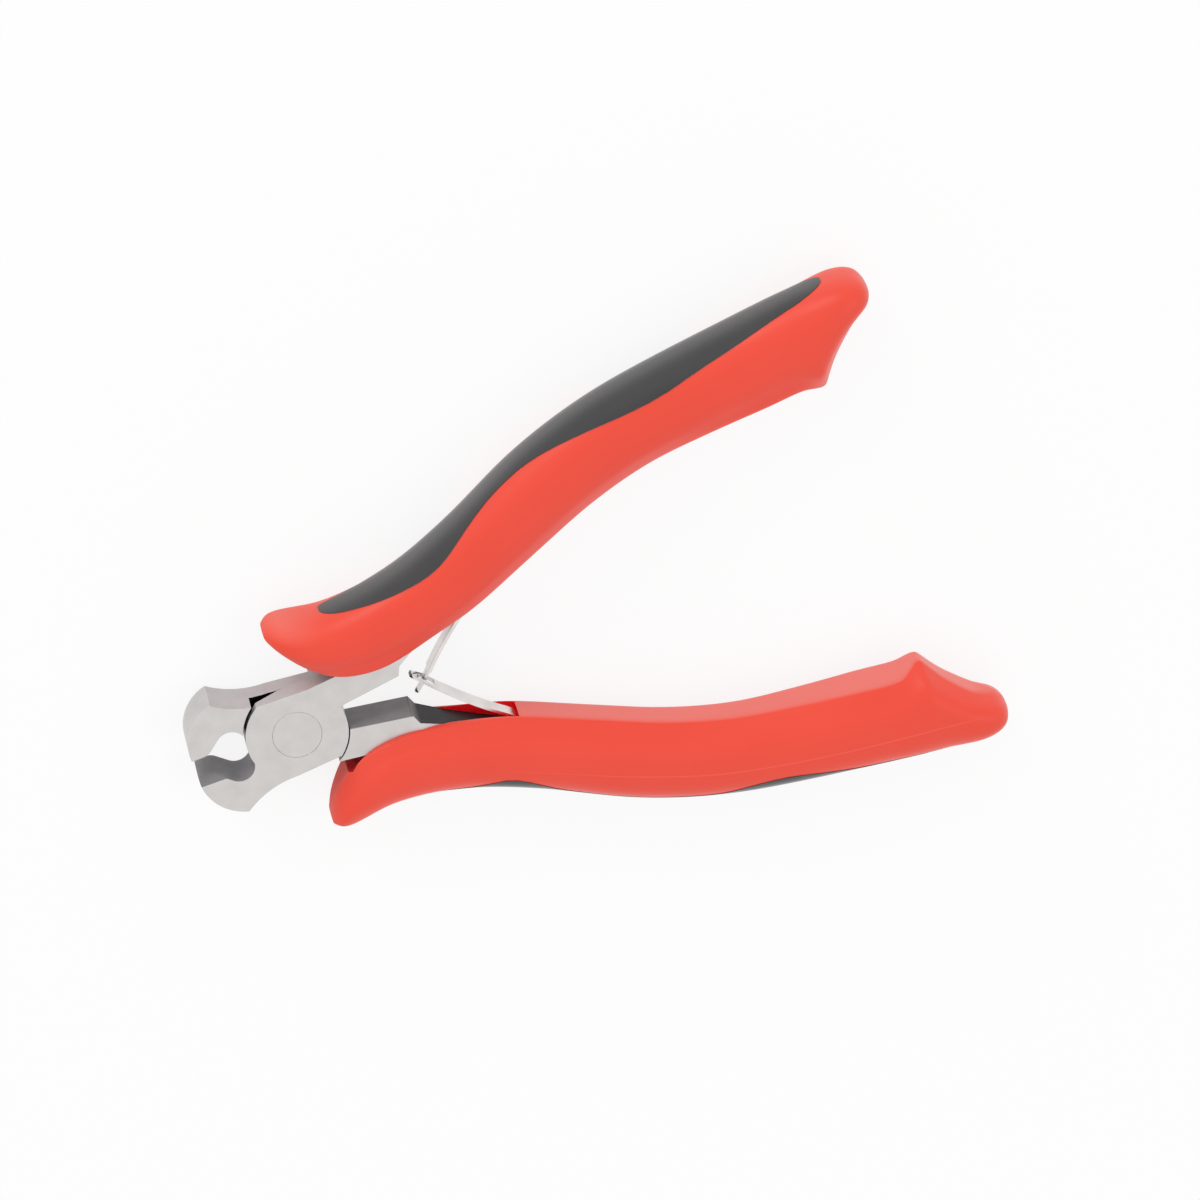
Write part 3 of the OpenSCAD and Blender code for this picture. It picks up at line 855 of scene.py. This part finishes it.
def break_edges(obj, width, steps=EDGE_STEPS, material=-1):
    """Bevels sharp edges; material is the slot of the new faces, or -1 for that of the faces beside them."""
    bevel = obj.modifiers.new("broken edges", "BEVEL")
    bevel.material = material
    bevel.width = width
    bevel.segments = steps
    bevel.limit_method = "ANGLE"
    bevel.angle_limit = EDGE_ANGLE
    bevel.use_clamp_overlap = True
    weigh = obj.modifiers.new("even shading", "WEIGHTED_NORMAL")
    weigh.keep_sharp = True
    smooth(obj, EDGE_ANGLE)
    apply_modifiers(obj)


levers = {}
for node, up_side in (("front_lever", 1), ("back_lever", -1)):
    lever = mark(full_heel(copy_of(node, node + "_forging")), BRIGHT)
    open_shoulder(lever, up_side)
    for face in lever.data.polygons:
        if face.material_index == BRIGHT:
            face.material_index = tone(face, up_side)
    # Bevel faces take the worn edge colour: part wear, part painted highlight.
    break_edges(lever, EDGE, material=WEAR_AND_HIGHLIGHT)
    for face in lever.data.polygons:
        if face.material_index == WEAR_AND_HIGHLIGHT and tone(face, up_side) in (DARK, OXIDE_PAINTED_SHADE):
            face.material_index = DARK
    levers[node] = lever
    print(node, "faces:", len(lever.data.polygons), "open edges:", open_edges(lever))

# %% [markdown]
# ## The pivot rivet
# The rivet is hammered flush and ground with the joint, so only a hairline ring shows. The ring could be a
# line in the finish. A copy of the CAD node with a very small bevel gives it its thin shadow by itself.

# %% Pivot rivet
RING = 0.045 * MM
rivet = copy_of("pivot_rivet", "pivot_rivet_flush")
break_edges(rivet, RING, 2)
print("rivet faces:", len(rivet.data.polygons))

# %% [markdown]
# ## The spring leaves
# Two strips of spring steel are riveted to the tangs inside the grips. They leave through the slots and
# cross between the handles, the tongue of one in the slot of the other. A strip bends from its fold to its
# free part when the handles close. So the copy of the CAD node isn't tied to one body. The blade is made a
# little narrower, and its tip more so.

# %% Spring leaves
TIP_X = 18 * MM
TIP_SHARE = 0.42
EDGE_Z = 1.6 * MM
WIDTH_SHARE = 0.76
STRIP_EDGE = 0.07 * MM
leaves = {}
for half, up_side in (("upper", 1), ("lower", -1)):
    leaf = copy_of(half + "_leaf_spring", half + "_leaf_strip")
    edit(leaf)
    pick(leaf, "verts", lambda v: v.co.x < TIP_X)
    bpy.ops.transform.resize(value=(1, 1, TIP_SHARE), center_override=(0, 0, MID_Z))
    pick(leaf, "verts", lambda v: v.co.x > TIP_X and abs(v.co.z - MID_Z) > EDGE_Z)
    bpy.ops.transform.resize(value=(1, 1, WIDTH_SHARE), center_override=(0, 0, MID_Z))
    done()
    break_edges(leaf, STRIP_EDGE, 2)
    half + "_half"
    half + "_leaf"
    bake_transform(leaf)
    leaves[half] = leaf
    print(leaf.name, "faces:", len(leaf.data.polygons), "open edges:", open_edges(leaf))

# %% [markdown]
# ## Red plastic
# The grips are moulded in a satin red plastic: even in colour, a little blotchy, with a very fine grain
# from the mould. It could be painted on, but all that varies follows from a place on the grip. The stored
# distances draw the thin moulding line, a raised bump with a painted highlight, and the inner band, painted
# paler as light falling on it. The place along the tool fades them at the tail, beside the arm and at the
# flare, which is duller; a painted highlight pales the top of the flare. Faces that were cut are seen from
# inside: light that soaks through the walls makes them a deeper red, and their colour is also painted
# brighter in the slot as painted light and darker in the mouth as painted shade.

# %% Red plastic
# Where each change of the finish begins and is complete, along the tool
FLARE = (3 * MM, 9 * MM)
LINE_START = (20 * MM, 45 * MM)
LINE_END = (88 * MM, 93 * MM)
TAIL = (92 * MM, 95.5 * MM)
MOUTH = (6 * MM, 9 * MM)
ARM_END = (20 * MM, 27 * MM)
# Where the cut faces pass from painted shade in the mouth to the brighter red of the slot
MOUTH_PAINTED_SHADE = (10 * MM, 16 * MM)
# Distances in millimetres over which the moulding line and the painted light of the band fade out to their
# sides
LINE_SIDE = (0.05, 0.12)
PAINTED_BAND_SIDE = (0.1, 0.35)
# How deep light soaks in
DEPTH = 6 * MM


def red_plastic():
    finish = Finish("satin red plastic")
    place = finish.coordinates()
    cloud = finish.noise(place, 90, 3)
    grain = finish.noise(place, 2600, 2)
    off_line = finish.node("ShaderNodeMath", {"operation": "ABSOLUTE"}, {0: finish.stored("seam")})
    # The moulding line: a raised bump, and a paler colour that is a painted highlight.
    seam_bump_and_highlight = (1 - finish.ramp(off_line, *LINE_SIDE)) * finish.ramp(finish.along(), *LINE_START)
    seam_bump_and_highlight = seam_bump_and_highlight * finish.ramp(finish.stored("far"), 1, 2) * (1 - finish.ramp(finish.along(), *LINE_END))
    # Painted light: the inner band is paler, as light falling on it.
    band_painted_light = 1 - finish.ramp(finish.stored("rise"), *PAINTED_BAND_SIDE)
    by_arm = finish.ramp(finish.along(), *MOUTH) * (1 - finish.ramp(finish.along(), *ARM_END))
    band_painted_light = band_painted_light * (1 - finish.ramp(finish.along(), *TAIL)) * (1 - by_arm)
    behind_flare = finish.ramp(finish.along(), *FLARE)
    band_painted_light = band_painted_light * behind_flare
    colour = finish.blend(cloud, (0.81, 0.057, 0.028, 1), (0.86, 0.069, 0.036, 1))
    colour = finish.blend(seam_bump_and_highlight * 0.4, colour, (0.92, 0.16, 0.11, 1))
    colour = finish.blend(band_painted_light, colour, (0.83, 0.155, 0.12, 1))
    # Painted highlight: the top of the flare is paler.
    flare_painted_highlight = (1 - behind_flare) * finish.ramp(finish.stored("seam"), 0.5, 3)
    colour = finish.blend(flare_painted_highlight * 0.6, colour, (0.84, 0.19, 0.15, 1))
    return finish.surface(
        Base_Color=colour,
        Roughness=0.66 + cloud * 0.16 - behind_flare * 0.3,
        IOR=1.42,
        Sheen_Weight=0.12,
        Sheen_Roughness=0.5,
        Normal=finish.bump(grain * 0.6 + seam_bump_and_highlight * 2.0, 0.02 * MM, 0.5),
    )


def red_inside_painted_light_and_shade():
    """The same plastic on faces that were cut, brighter in the slot as painted light and darker in the mouth
    as painted shade.
    """
    finish = Finish("red plastic inside, painted light and shade")
    cloud = finish.noise(finish.coordinates(), 300, 3)
    # Painted light: a brighter, deeper red stands in for light on the slot's walls; painted shade darkens it
    # in the mouth.
    colour = finish.blend(cloud, (0.94, 0.010, 0.018, 1), (0.98, 0.016, 0.024, 1))
    return finish.surface(
        Base_Color=finish.blend(finish.ramp(finish.along(), *MOUTH_PAINTED_SHADE), (0.42, 0.012, 0.016, 1), colour),
        Roughness=0.6 + cloud * 0.1,
        Specular_IOR_Level=0.1,
        Subsurface_Weight=1.0,
        Subsurface_Radius=(1.0, 0.1, 0.1),
        Subsurface_Scale=DEPTH,
        Normal=finish.bump(cloud, 0.02 * MM, 0.4),
    )


red = red_plastic()
inside_red_painted_light_and_shade = red_inside_painted_light_and_shade()
print("finishes:", red.name, inside_red_painted_light_and_shade.name)

# %% [markdown]
# ## Soft grey rubber
# The inlay is a soft elastomer: nearly black, matt, with a fine pebbled skin and faint paler wear. A picture
# of rubber would do, but it would need unwrapping. Two scales of noise give the pebble and the wear, and a
# sheen pales the skin where it turns away.

# %% Soft grey rubber
def grey_rubber():
    finish = Finish("soft grey rubber")
    place = finish.coordinates()
    pebble = finish.noise(place, 1900, 2)
    wear = finish.noise(place, 160, 3)
    colour = finish.blend(wear, (0.03, 0.029, 0.03, 1), (0.05, 0.047, 0.048, 1))
    return finish.surface(
        Base_Color=colour,
        Roughness=0.52 + wear * 0.16,
        IOR=1.4,
        Sheen_Weight=0.75,
        Sheen_Roughness=0.4,
        Normal=finish.bump(pebble, 0.03 * MM, 0.6),
    )


grey = grey_rubber()
print("finish:", grey.name)

# %% [markdown]
# ## Steel, seven ways
# The ground faces are satin with fine lines along the tool and a few faint stains. The walls are rougher
# and painted darker as shade, and the worn edges are brighter, part wear and part painted highlight. The
# inner faces keep a dark oxide, darkened on the tang as painted shade and given a darker copy as painted
# shade where a jaw slopes, and the gaps of the joint are painted black as shade. The leaves are bright
# rolled strip with tips darkened as painted shade. All seven are one recipe with other values: a metal, a
# stretched noise for the lines and a broad one for the stains.

# %% Steel finishes
LINES_ALONG = (500, 7000, 7000)
LINES_NONE = (2500, 2500, 2500)
LINES_STRIP = (600, 600, 9000)
# Where the painted shade begins to fade and where it is gone, along the tool
KNEE = (17.0 * MM, 15.8 * MM)
TIPS = (17.9 * MM, 18.0 * MM)
PAINTED_SHADE_TONE = (0.03, 0.028, 0.029, 1)
SHADE_BLACK = (0.004, 0.004, 0.004, 1)


def steel(name, bright, stained, lines, roughness, metal=1.0, shade=None, gleam=0.5):
    """A metal with lines and stains; shade is where its painted shade begins to fade and where it is gone.
    """
    finish = Finish(name)
    stain = finish.ramp(finish.noise(finish.coordinates(), 420, 4), 0.35, 0.75)
    scratch = finish.noise(finish.coordinates(lines), 1, 3)
    colour = finish.blend(stain, bright, stained)
    if shade:
        colour = finish.blend(finish.ramp(finish.along(), *shade), PAINTED_SHADE_TONE, colour)
    return finish.surface(
        Base_Color=colour,
        Metallic=metal,
        Specular_IOR_Level=gleam,
        Roughness=roughness + scratch * 0.16 + stain * 0.06,
        Normal=finish.bump(scratch, 0.012 * MM, 0.5),
    )


ground = steel("ground steel", (0.63, 0.607, 0.595, 1), (0.58, 0.557, 0.545, 1), LINES_ALONG, 0.30)
# The tang behind the knee fades to painted shade.
oxide = steel("dark oxide", (0.29, 0.28, 0.29, 1), (0.25, 0.242, 0.25, 1), LINES_NONE, 0.4, 0.2, KNEE, 0.2)
# Painted shade: a darker copy of the oxide.
shaded_oxide_finish = steel("dark oxide, painted shade", (0.19, 0.185, 0.19, 1), (0.16, 0.156, 0.16, 1), LINES_NONE, 0.45, 0.1)
# Painted shade: black for the gaps and the faces where the laps meet.
gap_shade_finish = steel("painted gap shade", SHADE_BLACK, SHADE_BLACK, LINES_NONE, 0.6, 0.0, gleam=0.0)
# Painted shade: a darker copy of the ground steel.
shaded_wall_finish = steel("ground wall, painted shade", (0.54, 0.528, 0.522, 1), (0.49, 0.479, 0.473, 1), LINES_ALONG, 0.40, 0.4)
# Part wear, part painted highlight.
wear_and_highlight_finish = steel("worn edge and painted highlight", (0.86, 0.84, 0.82, 1), (0.74, 0.72, 0.70, 1), LINES_NONE, 0.25, 0.6)
BRIGHT_STRIP, DULL_STRIP = (0.77, 0.735, 0.715, 1), (0.68, 0.645, 0.625, 1)
# The leaf tips fade to painted shade.
strip_steel = steel("bright strip", BRIGHT_STRIP, DULL_STRIP, LINES_STRIP, 0.2, 1.0, TIPS)
forged = (ground, oxide, gap_shade_finish, shaded_oxide_finish, shaded_wall_finish, wear_and_highlight_finish)
print("finishes:", [finish.name for finish in forged], strip_steel.name)

# %% [markdown]
# ## Put the pieces on their bodies
# Each piece gets its finish, rides on the body of the CAD node that it stands for unless it is a spring
# leaf, and hides that node.
# The two small rivets inside the grips stay as CAD nodes and only get a finish.

# %% Dress and ride
def dress(obj, *materials):
    while len(obj.data.materials) < len(materials):
        obj.data.materials.append(None)
    while len(obj.data.materials) > len(materials):
        obj.data.materials.pop()
    for slot, material in enumerate(materials):
        obj.data.materials[slot] = material


RIDES = [
    (levers["front_lever"], "upper_half", "front_lever", "ground_steel", forged),
    (levers["back_lever"], "lower_half", "back_lever", "ground_steel", forged),
    (rivet, "lower_half", "pivot_rivet", "ground_steel", (ground,)),
    (grip, "upper_half", "upper_grip_shell", "red_grip", (red, inside_red_painted_light_and_shade)),
    (inlay, "upper_half", "upper_grip_inlay", "grey_inlay", (grey,)),
    (lower_grip, "lower_half", "lower_grip_shell", "red_grip", (red, inside_red_painted_light_and_shade)),
    (lower_inlay, "lower_half", "lower_grip_inlay", "grey_inlay", (grey,)),
    (leaves["upper"], None, "upper_leaf_spring", "spring_steel", (strip_steel,)),
    (leaves["lower"], None, "lower_leaf_spring", "spring_steel", (strip_steel,)),
]
for obj, body, node, slot, materials in RIDES:
    dress(obj, *materials)
    if body:
        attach(obj, body)
    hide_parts(node)
for node in ("upper_spring_rivet", "lower_spring_rivet"):
    dress(frame["nodes"][node], strip_steel)
print("pieces:", len(RIDES))

# %% [markdown]
# ## Floor, world and lamps
# The tool lies on a plain white floor under soft light from all round, with two large lamps for a little
# direction. A photographer would light the paper from below to make it white. Here the rays that show the
# floor find it partly white by itself, so its soft shadow stays but turns pale.

# %% Stage and light
FLOOR_SIDE = 6.0
WHITENESS = 0.85
SKY = 0.86
LAMPS = [((-0.3, 1.35, 0.5), 0.5, 4.6), ((0.9, -0.2, 1.2), 0.8, 1.8)]
AIM = Vector((0.04, 0, 0))

bpy.ops.object.select_all(action="DESELECT")
bpy.ops.mesh.primitive_plane_add(size=FLOOR_SIDE, location=(0, 0, cad_low.z))
floor = added("floor")
paper = Finish("white floor")
matt = paper.node("ShaderNodeBsdfDiffuse", sockets={"Color": (0.93, 0.93, 0.93, 1)})
white = paper.node("ShaderNodeEmission", sockets={"Strength": 1.0})
mixed = {0: paper.seen() * WHITENESS, 1: matt, 2: white}
dress(floor, paper.output(paper.node("ShaderNodeMixShader", sockets=mixed)))

sky = Finish("soft white", world=True)
strength = SKY + sky.seen() * (1 - SKY)
glow = sky.node("ShaderNodeBackground", sockets={"Color": (1, 1, 1, 1), "Strength": strength})
bpy.context.scene.world = sky.output(glow)

for place, size, power in LAMPS:
    aim = (Vector(place) - AIM).to_track_quat("Z", "Y").to_euler()
    bpy.ops.object.light_add(type="AREA", radius=size, location=place, rotation=aim)
    lamp = bpy.context.object
    lamp.data.size = size
    lamp.data.energy = power
bpy.context.scene.view_settings.view_transform = "Standard"
print("lamps:", len(LAMPS))
